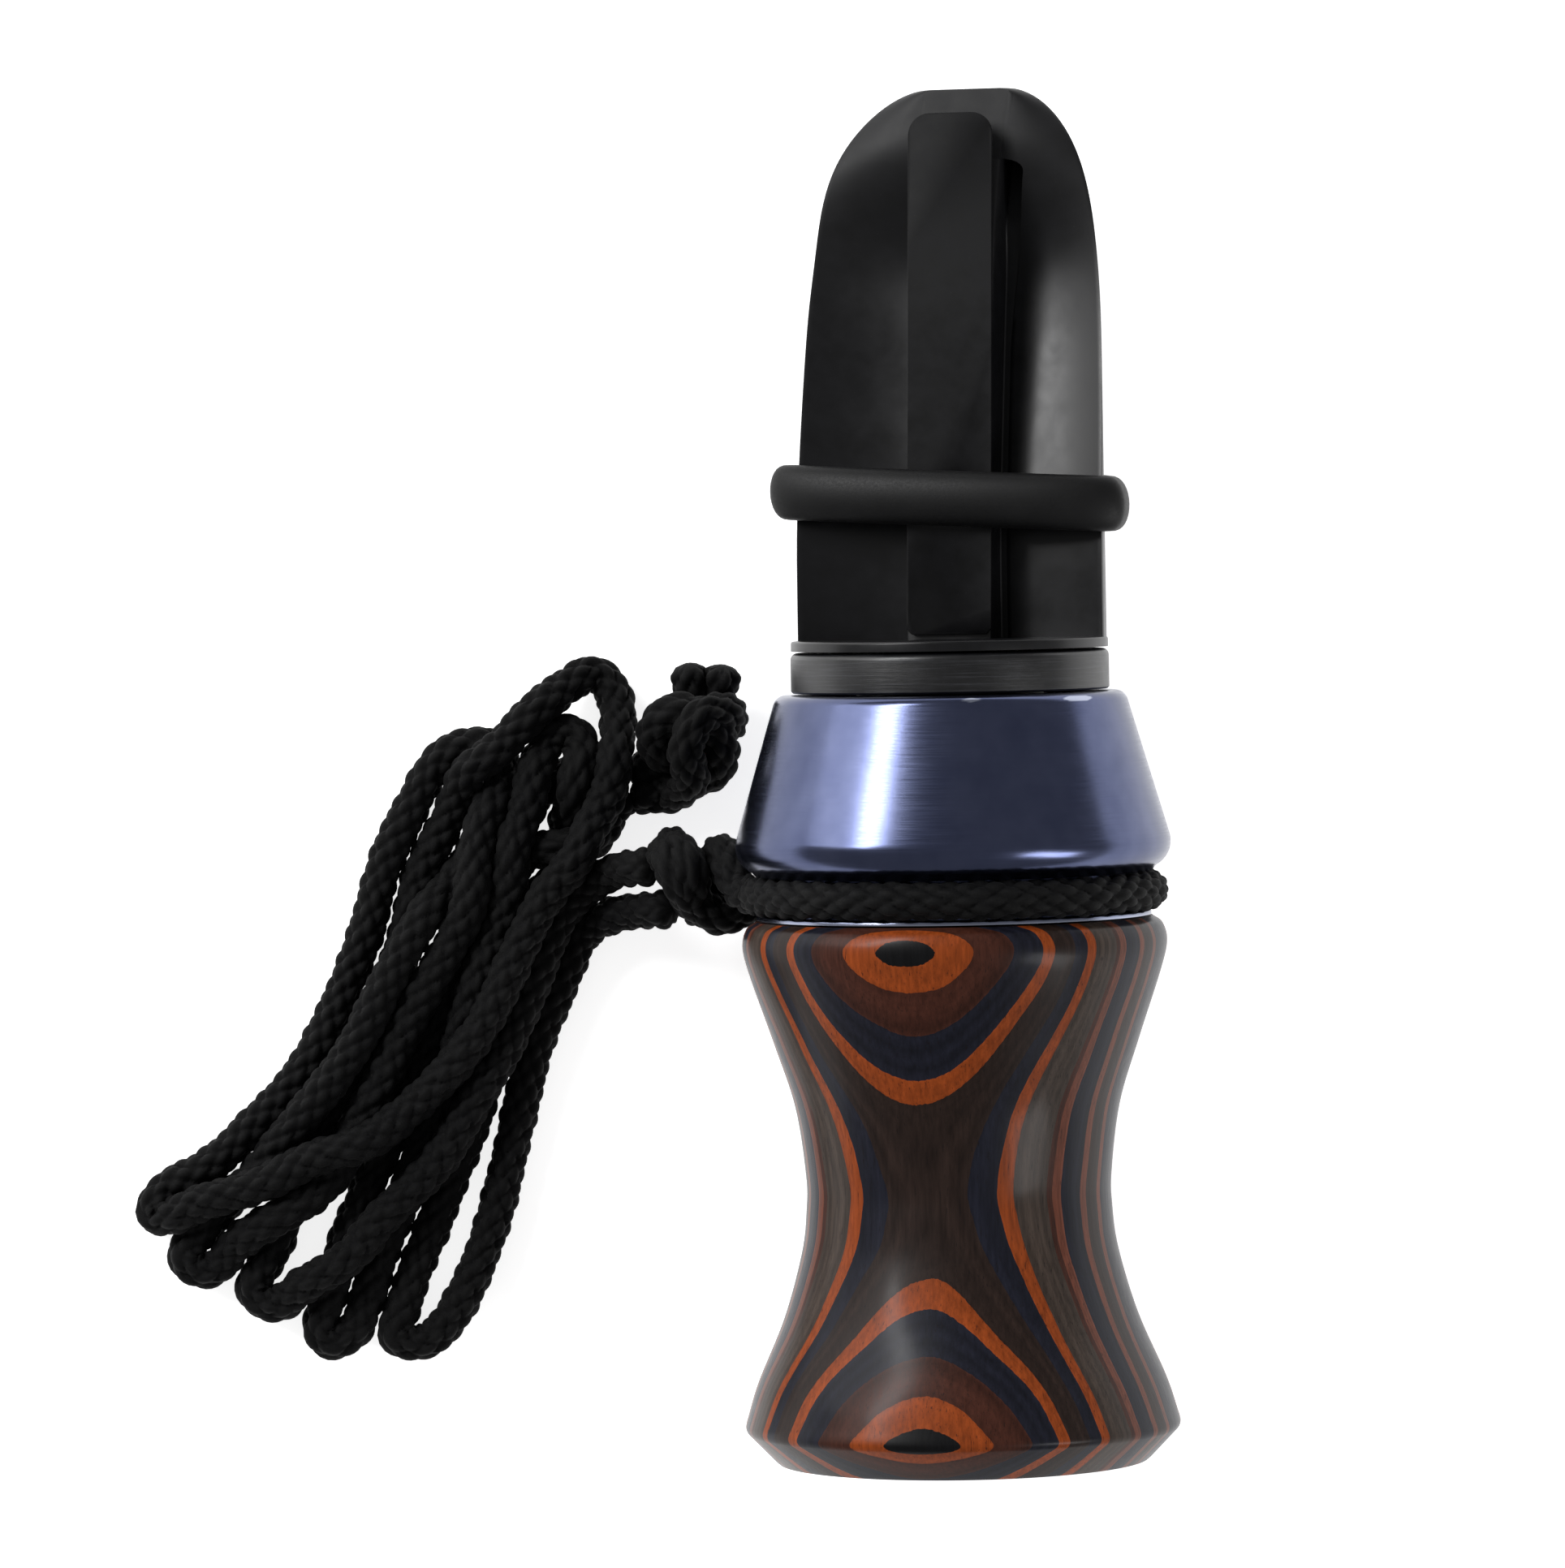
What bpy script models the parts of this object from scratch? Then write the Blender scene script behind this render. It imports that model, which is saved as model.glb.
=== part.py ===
"""Open-reed game call with a wood barrel, an aluminium ferrule and a braided lanyard.

The call lies on its side: its axis runs along +Y towards the mouthpiece, and +Z is up.
The origin is under the middle of the call, on the surface that it lies on.
Stations along the axis are measured in metres from the exhaust end.
"""

import math

import bmesh
import bpy
from mathutils import Matrix, Vector

MM = 0.001

# Driving dimensions
CALL_LENGTH = 111.3 * MM
RIM_RADIUS = 17.65 * MM
BORE_RADIUS = 8.0 * MM
CORD_RADIUS = 1.6 * MM
FIT_GAP = 0.3 * MM
SEAM_GAP = 0.15 * MM
TURNED_STEPS = 48

# Stations along the axis
SHOULDER = 44.05 * MM
GROOVE_LOW = 44.55 * MM
GROOVE_HIGH = 47.75 * MM
FERRULE_TOP = 62.35 * MM
FLANGE_BASE = FERRULE_TOP + SEAM_GAP
FLANGE_TOP = 65.75 * MM
BOARD_BASE = FLANGE_TOP + SEAM_GAP
STEM_END = 38.0 * MM
TENON_END = 46.0 * MM
BAND_STATION = 78.1 * MM
REED_PIVOT = 80.0 * MM
NOSE_START = 90.0 * MM
SLOT_START = 90.0 * MM
SLOT_END = 105.5 * MM
SCOOP_FADE = 98.0 * MM
SCOOP_END = 107.5 * MM
REED_TAIL = 67.1 * MM
REED_END = 109.3 * MM

# Radii and sections
GROOVE_RADIUS = 14.1 * MM
TENON_RADIUS = 11.0 * MM
FLANGE_RADIUS = 12.9 * MM
STEM_RADIUS = 7.6 * MM
SEAL_GROOVE_RADIUS = 6.3 * MM
SEAL_GROOVE_WIDTH = 2.4 * MM
SEAL_STATIONS = (43.5 * MM, 57.0 * MM)
SEAL_SECTION = 0.55 * MM
SOCKET_RADIUS = 5.5 * MM
AIRWAY_RADIUS = 2.8 * MM
BOARD_RADIUS = 12.75 * MM
BOARD_DISC = 0.8 * MM
TIP_RADIUS = 6.4 * MM
NOSE_POWER = 3.0
NOSE_BLUNTNESS = 0.68
NOSE_LEAN = 1.0 * MM
NOSE_CROWN = 1.2 * MM
RIM_SLOPE = 0.185
RIM_BEND = 75.0 * MM
RIB_HALF_WIDTH = 3.9 * MM
RIB_HEIGHT = 1.7 * MM
RIB_SLOPE = 0.08
RIB_CURVE = 2.0 * MM
SCOOP_DEPTH = 1.8 * MM
SLOT_WIDTH = 1.9 * MM
SLOT_NARROW = 0.6 * MM
CHANNEL_HALF_WIDTH = 1.8 * MM
CHANNEL_DEPTH = 2.6 * MM
REED_HALF_WIDTH = 3.5 * MM
REED_THICKNESS = 0.36 * MM
REED_CORNER = 1.8 * MM
BAND_INNER = 13.05 * MM
BAND_THICKNESS = 1.75 * MM
BAND_HEIGHT = 4.5 * MM
BAND_TILT = math.radians(3.0)
BAND_CLEARANCE = 0.9 * MM
MOUTHPIECE_TWIST = math.radians(-15.0)

# Lanyard, in the part's frame. The hank lies on the floor beside the barrel.
NOOSE_KNOT_CENTRE = Vector((-20.2, -7.2, 10.6)) * MM
NOOSE_KNOT_RADIUS = 3.7 * MM
END_KNOT_CENTRE = Vector((-21.4, 3.1, 4.6)) * MM
END_KNOT_RADIUS = 4.5 * MM
HANK_HEIGHT = 7.6 * MM
HANK_LOWEST = 0.05 * MM
HANK_OUTLINE = (
    (-28.6, 9.8), (-33.0, 6.6), (-39.0, 4.4), (-44.0, -2.0), (-48.4, -14.2),
    (-52.0, -20.6), (-57.6, -27.0), (-66.8, -34.6), (-66.6, -37.6), (-62.6, -39.6),
    (-59.0, -44.4), (-52.6, -46.4), (-48.6, -49.0), (-44.0, -48.6), (-40.6, -44.0),
    (-36.6, -34.6), (-33.6, -22.6), (-31.6, -12.6), (-30.0, -4.6), (-29.2, 0.0),
    (-27.8, 4.6), (-26.8, 7.8),
)
NOOSE_LEAD_UPPER = (
    (-24.1, -6.5, 10.0), (-25.8, -6.6, 8.8), (-27.5, -7.0, 7.2), (-28.9, -7.5, 5.6),
)
NOOSE_LEAD_LOWER = (
    (-22.9, -10.8, 9.2), (-25.0, -11.2, 7.4), (-27.2, -11.6, 5.2), (-29.4, -12.1, 3.4),
)
END_LEAD_UPPER = (
    (-27.8, 0.5, 2.0), (-27.3, 0.8, 2.0), (-26.8, 1.1, 2.1), (-26.2, 1.5, 2.4),
)
END_LEAD_LOWER = (
    (-28.8, -5.2, 2.0), (-27.6, -4.2, 1.9), (-26.4, -3.2, 1.9), (-25.2, -2.2, 2.2),
)


def clear_scene():
    for old in list(bpy.data.objects):
        bpy.data.objects.remove(old, do_unlink=True)


def new_collection(name, hidden=False):
    collection = bpy.data.collections.new(name)
    bpy.context.scene.collection.children.link(collection)
    collection.hide_render = hidden
    return collection


def material(name, color, roughness, metallic=0.0):
    made = bpy.data.materials.new(name)
    made.use_nodes = True
    shader = made.node_tree.nodes["Principled BSDF"]
    shader.inputs["Base Color"].default_value = (*color, 1.0)
    shader.inputs["Roughness"].default_value = roughness
    shader.inputs["Metallic"].default_value = metallic
    return made


def add_object(name, data, collection, mat=None, parent=None):
    """Link an object. Its data is in the parent's coordinates."""
    made = bpy.data.objects.new(name, data)
    collection.objects.link(made)
    made.parent = parent
    if mat:
        data.materials.append(mat)
    return made


def add_empty(name, station, collection, twist=0.0):
    """An empty on the call's axis, whose Z runs along the axis towards the mouthpiece."""
    made = bpy.data.objects.new(name, None)
    collection.objects.link(made)
    made.empty_display_size = 5 * MM
    along = Matrix.Rotation(math.radians(-90), 4, "X")
    turn = Matrix.Rotation(twist, 4, "Y")
    place = Matrix.Translation((0, station - CALL_LENGTH / 2, RIM_RADIUS))
    made.matrix_world = place @ turn @ along
    return made


def smooth_points(points, steps, closed=False):
    """Catmull-Rom points through the given ones, with steps between each pair."""
    knots = [Vector(point) for point in points]
    count = len(knots)
    spans = count if closed else count - 1
    found = []
    for i in range(spans):
        if closed:
            a, b, c, d = (knots[(i + k) % count] for k in (-1, 0, 1, 2))
        else:
            b, c = knots[i], knots[i + 1]
            a = knots[i - 1] if i > 0 else 2 * b - c
            d = knots[i + 2] if i + 2 < count else 2 * c - b
        for step in range(steps):
            t = step / steps
            bend = (2 * a - 5 * b + 4 * c - d) * t * t + (3 * b - a - 3 * c + d) * t**3
            found.append((2 * b + (c - a) * t + bend) / 2)
    if not closed:
        found.append(knots[-1])
    return found


def arc(centre, radius, start, end, steps):
    """(radius, station) points round a centre, with angles in degrees from +radius."""
    found = []
    for i in range(steps + 1):
        angle = math.radians(start + (end - start) * i / steps)
        found.append((
            centre[0] + radius * math.cos(angle),
            centre[1] + radius * math.sin(angle),
        ))
    return found


def turned(name, profile, collection, mat, parent):
    """A closed ring of revolution from (radius, station) points, listed clockwise."""
    mesh = bpy.data.meshes.new(name)
    bm = bmesh.new()
    verts = [bm.verts.new((radius, 0, station)) for radius, station in profile]
    for first, second in zip(verts, verts[1:] + verts[:1]):
        bm.edges.new((first, second))
    bm.to_mesh(mesh)
    bm.free()
    made = add_object(name, mesh, collection, mat, parent)
    screw = made.modifiers.new("turn", "SCREW")
    screw.axis = "Z"
    screw.steps = TURNED_STEPS
    screw.render_steps = TURNED_STEPS
    screw.use_smooth_shade = True
    screw.use_merge_vertices = True
    screw.merge_threshold = 0.00001
    return made


def to_mesh_object(made, collection):
    """Replace an object by its evaluated mesh, so that it can be cut."""
    bpy.context.view_layer.update()
    graph = bpy.context.evaluated_depsgraph_get()
    mesh = bpy.data.meshes.new_from_object(made.evaluated_get(graph))
    name = made.name
    mat = made.data.materials[0] if made.data.materials else None
    parent = made.parent
    place = made.matrix_world.copy()
    bpy.data.objects.remove(made, do_unlink=True)
    bm = bmesh.new()
    bm.from_mesh(mesh)
    bmesh.ops.remove_doubles(bm, verts=bm.verts, dist=0.000001)
    bmesh.ops.recalc_face_normals(bm, faces=bm.faces)
    bm.to_mesh(mesh)
    bm.free()
    mesh.materials.clear()
    solid = add_object(name, mesh, collection, mat, parent)
    solid.matrix_world = place
    return solid


def combine(target, tool, operation):
    """Join a helper to a part, or cut the part with it."""
    boolean = target.modifiers.new(tool.name, "BOOLEAN")
    boolean.operation = operation
    boolean.solver = "EXACT"
    boolean.object = tool
    tool.hide_render = True
    tool.display_type = "WIRE"


def round_bar(name, radius, low, high, collection, parent, sides=32):
    """A cylinder on the call's axis between two stations."""
    mesh = bpy.data.meshes.new(name)
    bm = bmesh.new()
    bmesh.ops.create_cone(
        bm, cap_ends=True, segments=sides, radius1=radius, radius2=radius, depth=high - low,
        matrix=Matrix.Translation((0, 0, (low + high) / 2)),
    )
    bm.to_mesh(mesh)
    bm.free()
    return add_object(name, mesh, collection, None, parent)


def tube(name, points, radius, collection, mat):
    """A round tube along a smooth curve through the given points, in the part's frame."""
    curve = bpy.data.curves.new(name, "CURVE")
    curve.dimensions = "3D"
    curve.bevel_depth = radius
    curve.bevel_resolution = 2
    curve.use_fill_caps = True
    path = smooth_points(points, 2)
    spline = curve.splines.new("POLY")
    spline.points.add(len(path) - 1)
    for point, place in zip(spline.points, path):
        point.co = (*place, 1)
    return add_object(name, curve, collection, mat)


def barrel(collection, mat, parent):
    """The hourglass barrel, with a tenon for the ferrule and a bore right through."""
    lower_flare = smooth_points(
        [
            (17.58 * MM, 3.4 * MM), (16.56 * MM, 6.6 * MM), (14.36 * MM, 11.8 * MM),
            (12.85 * MM, 17.1 * MM), (12.41 * MM, 20.6 * MM), (12.41 * MM, 23.4 * MM),
            (13.17 * MM, 28.9 * MM), (14.84 * MM, 34.2 * MM), (16.60 * MM, 39.4 * MM),
            (17.22 * MM, 41.9 * MM), (16.90 * MM, 43.4 * MM), (16.10 * MM, SHOULDER),
        ],
        2,
    )
    outside = [(point[0], point[1]) for point in reversed(lower_flare)]
    foot = arc((RIM_RADIUS - 0.8 * MM, 3.0 * MM), 0.8 * MM, 10, -42, 3)
    end_face = [(15.3 * MM, 0.25 * MM), (15.0 * MM, 0.0)]
    bore_mouth = BORE_RADIUS + 0.6 * MM
    tenon_top = FERRULE_TOP - FIT_GAP
    inside = [
        (bore_mouth, 0.0), (BORE_RADIUS, 0.6 * MM),
        (BORE_RADIUS, tenon_top - 0.4 * MM), (BORE_RADIUS + 0.4 * MM, tenon_top),
        (TENON_RADIUS, tenon_top), (TENON_RADIUS, SHOULDER),
    ]
    return turned("barrel", outside + foot + end_face + inside, collection, mat, parent)


def ferrule(collection, mat, parent):
    """The cone-shaped ring over the tenon, with the lanyard's groove and a thin lip."""
    inner = TENON_RADIUS + SEAM_GAP
    lip = SHOULDER + SEAM_GAP
    rim = arc((RIM_RADIUS - 2.2 * MM, 50.1 * MM), 2.2 * MM, 17, -62, 4)
    crown = arc((13.4 * MM, FERRULE_TOP - 1.0 * MM), 1.0 * MM, 90, 17, 3)
    profile = crown + rim + [
        (16.1 * MM, GROOVE_HIGH), (GROOVE_RADIUS, GROOVE_HIGH), (GROOVE_RADIUS, GROOVE_LOW),
        (15.8 * MM, GROOVE_LOW), (16.0 * MM, GROOVE_LOW - 0.12 * MM), (16.0 * MM, lip),
        (inner, lip), (inner, FERRULE_TOP - 0.3 * MM), (inner + 0.3 * MM, FERRULE_TOP),
    ]
    return turned("ferrule", profile, collection, mat, parent)


def insert_collar(collection, mat, parent):
    """The turned collar: a flange on the ferrule and a stem with two seal grooves."""
    chamfer = 0.55 * MM
    profile = [
        (SOCKET_RADIUS, FLANGE_TOP), (FLANGE_RADIUS - chamfer, FLANGE_TOP),
        (FLANGE_RADIUS, FLANGE_TOP - chamfer), (FLANGE_RADIUS, FLANGE_BASE),
        (STEM_RADIUS, FLANGE_BASE),
    ]
    for station in reversed(SEAL_STATIONS):
        upper = station + SEAL_GROOVE_WIDTH / 2
        lower = station - SEAL_GROOVE_WIDTH / 2
        profile += [
            (STEM_RADIUS, upper), (SEAL_GROOVE_RADIUS, upper),
            (SEAL_GROOVE_RADIUS, lower), (STEM_RADIUS, lower),
        ]
    profile += [
        (STEM_RADIUS, STEM_END + 0.6 * MM), (STEM_RADIUS - 0.6 * MM, STEM_END),
        (AIRWAY_RADIUS + 0.5 * MM, STEM_END), (AIRWAY_RADIUS, STEM_END + 0.5 * MM),
        (AIRWAY_RADIUS, TENON_END - SEAM_GAP), (SOCKET_RADIUS, TENON_END - SEAM_GAP),
    ]
    return turned("insert_collar", profile, collection, mat, parent)


def stem_o_ring(name, collection, mat, parent):
    """A rubber ring in one of the stem's grooves, with a round section."""
    centre = (SEAL_GROOVE_RADIUS + 0.15 * MM + SEAL_SECTION, 0.0)
    profile = arc(centre, SEAL_SECTION, 360, 45, 7)
    return turned(name, profile, collection, mat, parent)


def board_radius(station):
    """The bullet's radius at a station: a cylinder that ends in a blunt nose."""
    along = max(station - NOSE_START, 0.0) / (CALL_LENGTH - NOSE_START)
    nose = (1 - min(along, 1.0) ** NOSE_POWER) ** NOSE_BLUNTNESS
    return TIP_RADIUS + (BOARD_RADIUS - TIP_RADIUS) * nose


def rim_height(station):
    """The height of the flanks' outer edges over the axis, which falls towards the tip."""
    past = station - RIM_BEND
    return -RIM_SLOPE * (math.hypot(past, 3 * MM) + past) / 2


def reed_line(station):
    """The height of the rib where the reed lies flat on it."""
    return RIB_HEIGHT - RIB_SLOPE * (station - BOARD_BASE)


def rib_top(station):
    """The height of the rib, which curves away under the reed's free end."""
    start = REED_PIVOT + 2 * MM
    along = max(station - start, 0.0) / (CALL_LENGTH - start)
    return reed_line(station) - RIB_CURVE * along**2


def nose_share(station):
    """0 where the flanks are scooped and 1 on the nose, with a smooth change between."""
    along = min(max((station - SCOOP_FADE) / (SCOOP_END - SCOOP_FADE), 0.0), 1.0)
    return along**2 * (3 - 2 * along)


def nose_lean(station):
    """How far the nose leans to one side."""
    return NOSE_LEAN * (max(station - NOSE_START, 0.0) / (CALL_LENGTH - NOSE_START)) ** 3


def slot_width(station):
    """The width of the slot beside the rib, which ends round under the nose."""
    along = min(max((station - SLOT_START) / (SLOT_END - SLOT_START), 0.0), 1.0)
    width = SLOT_NARROW + (SLOT_WIDTH - SLOT_NARROW) * along**1.3
    past = min(max((station - SLOT_END + 1 * MM) / (1 * MM), 0.0), 0.98)
    return width * math.sqrt(1 - past**2)


def slot_depth(station):
    """How deep the slot's floor lies under the rib's top."""
    along = max(station - 84 * MM, 0.0) / (SLOT_END - 84 * MM)
    return (2.3 + 2.1 * min(along, 1.0) ** 1.3) * MM


def board_section(station):
    """(x, z) points of the board's outline at a station, the flat side up."""
    radius = board_radius(station)
    share = nose_share(station)
    top = rib_top(station)
    cut = max(rim_height(station), -0.88 * radius)
    crown = NOSE_CROWN * share
    rim = cut + (top - 0.3 * MM - crown - cut) * share
    half = math.sqrt(radius**2 - rim**2)
    rib = min(RIB_HALF_WIDTH, half * 0.72)
    scoop = SCOOP_DEPTH * (1 - share)
    slot = slot_width(station)
    slot_floor = rim - scoop - 0.02 * MM
    if station < SLOT_END:
        slot_floor = min(slot_floor, top - slot_depth(station))
    right = [(rib, top), (rib, slot_floor), (rib + slot, slot_floor)]
    for i in range(7):
        x = rib + slot + (half - rib - slot) * i / 6
        t = (x - rib) / (half - rib)
        right.append((x, rim - scoop * (1 - t**1.8) + crown * (1 - t**2.4)))
    belly = []
    start = math.asin(rim / radius)
    for i in range(1, 24):
        angle = start - (math.pi + 2 * start) * i / 24
        belly.append((radius * math.cos(angle), radius * math.sin(angle)))
    left = [(-x, z) for x, z in reversed(right)]
    lean = nose_lean(station)
    return [(x + lean, z) for x, z in right + belly + left]


def loft(name, sections, collection, mat, parent):
    """A closed body through (station, outline) sections with equal point counts."""
    mesh = bpy.data.meshes.new(name)
    bm = bmesh.new()
    rings = []
    for station, outline in sections:
        rings.append([bm.verts.new((x, -z, station)) for x, z in outline])
    for lower, upper in zip(rings, rings[1:]):
        count = len(lower)
        for i in range(count):
            k = (i + 1) % count
            bm.faces.new((lower[i], lower[k], upper[k], upper[i]))
    bm.faces.new(rings[0])
    bm.faces.new(rings[-1])
    bmesh.ops.recalc_face_normals(bm, faces=bm.faces)
    bm.to_mesh(mesh)
    bm.free()
    return add_object(name, mesh, collection, mat, parent)


def toneboard(collection, cutters, mat, parent):
    """The bullet-shaped board: a rib with a tone channel, two scooped flanks, a tenon."""
    disc_top = BOARD_BASE + BOARD_DISC
    stations = [BOARD_BASE + BOARD_DISC * 0.6, 72.0 * MM, 76.0 * MM, 80.0 * MM]
    stations += [station * MM for station in range(83, 104, 2)]
    stations += [104.3 * MM, 105.0 * MM, SLOT_END - 0.15 * MM, SLOT_END + 0.15 * MM]
    stations += [station * MM for station in (106.6, 107.6, 108.6, 109.6, 110.4, 110.9)]
    stations.append(CALL_LENGTH)
    sections = [(station, board_section(station)) for station in stations]
    body = loft("toneboard", sections, collection, mat, parent)
    disc_radius = BOARD_RADIUS + 0.1 * MM
    disc = round_bar("disc", disc_radius, BOARD_BASE, disc_top, cutters, parent, 48)
    combine(body, disc, "UNION")
    tenon_radius = SOCKET_RADIUS - SEAM_GAP
    tenon_top = BOARD_BASE + BOARD_DISC * 0.3
    tenon = round_bar("tenon", tenon_radius, TENON_END, tenon_top, cutters, parent)
    combine(body, tenon, "UNION")
    bore_radius = AIRWAY_RADIUS - 0.4 * MM
    airway = round_bar("airway", bore_radius, TENON_END - 1 * MM, 72 * MM, cutters, parent)
    combine(body, airway, "DIFFERENCE")
    combine(body, tone_channel(cutters, parent), "DIFFERENCE")
    body.data.shade_smooth()
    body.data.set_sharp_from_angle(angle=math.radians(32))
    return body


def tone_channel(cutters, parent):
    """The cutter for the channel under the reed, which runs out before the nose."""
    start = 70.0 * MM
    end = 103.0 * MM
    sections = []
    for i in range(9):
        t = i / 8
        station = start + (end - start) * t
        top = reed_line(station) + 2 * MM
        floor = rib_top(station) - 0.4 * MM - (CHANNEL_DEPTH - 0.4 * MM) * (1 - t**2)
        half = CHANNEL_HALF_WIDTH * (1 - 0.35 * t)
        outline = [(half, top), (half, floor), (-half, floor), (-half, top)]
        sections.append((station, outline))
    return loft("tone_channel", sections, cutters, None, parent)


def reed(collection, mat, parent):
    """The flat strip on the rib, with rounded corners at its free end."""
    curve = bpy.data.curves.new("reed", "CURVE")
    curve.dimensions = "2D"
    curve.fill_mode = "BOTH"
    curve.extrude = REED_THICKNESS / 2
    tip = REED_END - REED_PIVOT
    tail = REED_TAIL - REED_PIVOT
    corner = (REED_HALF_WIDTH - REED_CORNER, tip - REED_CORNER)
    right = [(REED_HALF_WIDTH, tail)] + arc(corner, REED_CORNER, 0, 90, 5)
    outline = right + [(-x, y) for x, y in reversed(right)]
    spline = curve.splines.new("POLY")
    spline.points.add(len(outline) - 1)
    for point, (x, y) in zip(spline.points, outline):
        point.co = (x, y, 0, 1)
    spline.use_cyclic_u = True
    made = add_object("reed", curve, collection, mat, parent)
    height = reed_line(REED_PIVOT) + SEAM_GAP + REED_THICKNESS / 2
    flat_on_rib = Matrix.Rotation(math.radians(90) - math.atan(RIB_SLOPE), 4, "X")
    made.matrix_local = Matrix.Translation((0, -height, 0)) @ flat_on_rib
    return to_mesh_object(made, collection)


def tuning_band(collection, mat, parent):
    """The rubber band round the board and the reed, stretched flat over the reed."""
    curve = bpy.data.curves.new("tuning_band", "CURVE")
    curve.dimensions = "2D"
    curve.fill_mode = "BOTH"
    rounding = BAND_THICKNESS * 0.46
    curve.extrude = BAND_HEIGHT / 2 - rounding
    curve.bevel_depth = rounding
    curve.bevel_resolution = 1
    curve.offset = -rounding
    over_reed = reed_line(BAND_STATION) + REED_THICKNESS + BAND_CLEARANCE
    for growth in (0.0, BAND_THICKNESS):
        side = BAND_INNER + growth
        top = over_reed + growth
        spline = curve.splines.new("POLY")
        steps = 36
        spline.points.add(steps - 1)
        for i, point in enumerate(spline.points):
            angle = 2 * math.pi * i / steps
            rise = top if math.sin(angle) > 0 else side
            point.co = (side * math.cos(angle), -rise * math.sin(angle), 0, 1)
        spline.use_cyclic_u = True
    made = add_object("tuning_band", curve, collection, mat, parent)
    made.rotation_euler = (0, BAND_TILT, 0)
    return to_mesh_object(made, collection)


def knot(name, centre, radius, stretch, collection, mat):
    """A plain rounded body of a knot's size."""
    mesh = bpy.data.meshes.new(name)
    bm = bmesh.new()
    bmesh.ops.create_icosphere(bm, subdivisions=2, radius=radius)
    bm.to_mesh(mesh)
    bm.free()
    made = add_object(name, mesh, collection, mat)
    made.location = centre
    made.scale = stretch
    made.data.shade_smooth()
    return made


def noose(collection, mat, parent):
    """The turn of cord in the ferrule's groove."""
    section = (GROOVE_HIGH - GROOVE_LOW) / 2 - SEAM_GAP
    centre = (GROOVE_RADIUS + SEAM_GAP + section, (GROOVE_HIGH + GROOVE_LOW) / 2)
    profile = arc(centre, section, 360, 45, 7)
    return turned("lanyard_noose", profile, collection, mat, parent)


def hank(collection, mat):
    """The folded lanyard: a closed outline with round ends, one plain solid."""
    curve = bpy.data.curves.new("lanyard_hank", "CURVE")
    curve.dimensions = "2D"
    curve.fill_mode = "BOTH"
    edge = 1.4 * MM
    curve.extrude = HANK_HEIGHT / 2 - edge
    curve.bevel_depth = edge
    curve.bevel_resolution = 1
    curve.offset = -edge
    outline = smooth_points([(x * MM, y * MM) for x, y in HANK_OUTLINE], 2, True)
    spline = curve.splines.new("POLY")
    spline.points.add(len(outline) - 1)
    for point, place in zip(spline.points, outline):
        point.co = (place[0], place[1], 0, 1)
    spline.use_cyclic_u = True
    made = add_object("lanyard_hank", curve, collection, mat)
    made.location.z = HANK_LOWEST + HANK_HEIGHT / 2
    return to_mesh_object(made, collection)


def build():
    clear_scene()
    parts = new_collection("open_reed_game_call")
    cutters = new_collection("cutters", hidden=True)
    wood = material("laminated_wood", (0.12, 0.05, 0.035), 0.25)
    metal = material("anodised_aluminium", (0.10, 0.12, 0.20), 0.3, 1.0)
    black = material("black_plastic", (0.012, 0.012, 0.015), 0.2)
    collar = material("turned_plastic", (0.02, 0.02, 0.022), 0.4)
    strip = material("reed_film", (0.015, 0.015, 0.017), 0.3)
    rubber = material("black_rubber", (0.015, 0.015, 0.016), 0.75)
    cord = material("braided_cord", (0.008, 0.008, 0.009), 0.9)

    call_axis = add_empty("call_axis", 0.0, parts)
    mouthpiece_axis = add_empty("mouthpiece_axis", 0.0, parts, MOUTHPIECE_TWIST)
    band_seat = add_empty("band_seat", BAND_STATION, parts, MOUTHPIECE_TWIST)
    reed_pivot = add_empty("reed_pivot", REED_PIVOT, parts, MOUTHPIECE_TWIST)

    barrel(parts, wood, call_axis)
    ferrule(parts, metal, call_axis)
    insert_collar(parts, collar, mouthpiece_axis)
    for name, station in zip(("stem_o_ring_rear", "stem_o_ring_front"), SEAL_STATIONS):
        seat = add_empty(name + "_seat", station, parts)
        stem_o_ring(name, parts, rubber, seat)
    toneboard(parts, cutters, black, mouthpiece_axis)
    reed(parts, strip, reed_pivot)
    tuning_band(parts, rubber, band_seat)

    noose(parts, cord, call_axis)
    knot("noose_knot", NOOSE_KNOT_CENTRE, NOOSE_KNOT_RADIUS, (0.95, 1.1, 1.0), parts, cord)
    knot("end_knot", END_KNOT_CENTRE, END_KNOT_RADIUS, (0.95, 1.35, 1.0), parts, cord)
    leads = {
        "noose_lead_upper": NOOSE_LEAD_UPPER,
        "noose_lead_lower": NOOSE_LEAD_LOWER,
        "end_lead_upper": END_LEAD_UPPER,
        "end_lead_lower": END_LEAD_LOWER,
    }
    for name, route in leads.items():
        places = [Vector(point) * MM for point in route]
        tube(name, places, CORD_RADIUS, parts, cord)
    hank(parts, cord)


build()
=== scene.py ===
"""Looks of the open-reed game call: fine surfaces, braided lanyard, materials and light.

Lengths are in millimetres here and turned into metres when a mesh is made. The call's
axis runs along +Y at RIM_RADIUS over the floor, and stations start at the exhaust end.
"""
import math

import bmesh
import bpy
import numpy as np
from mathutils import Matrix, Vector


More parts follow.
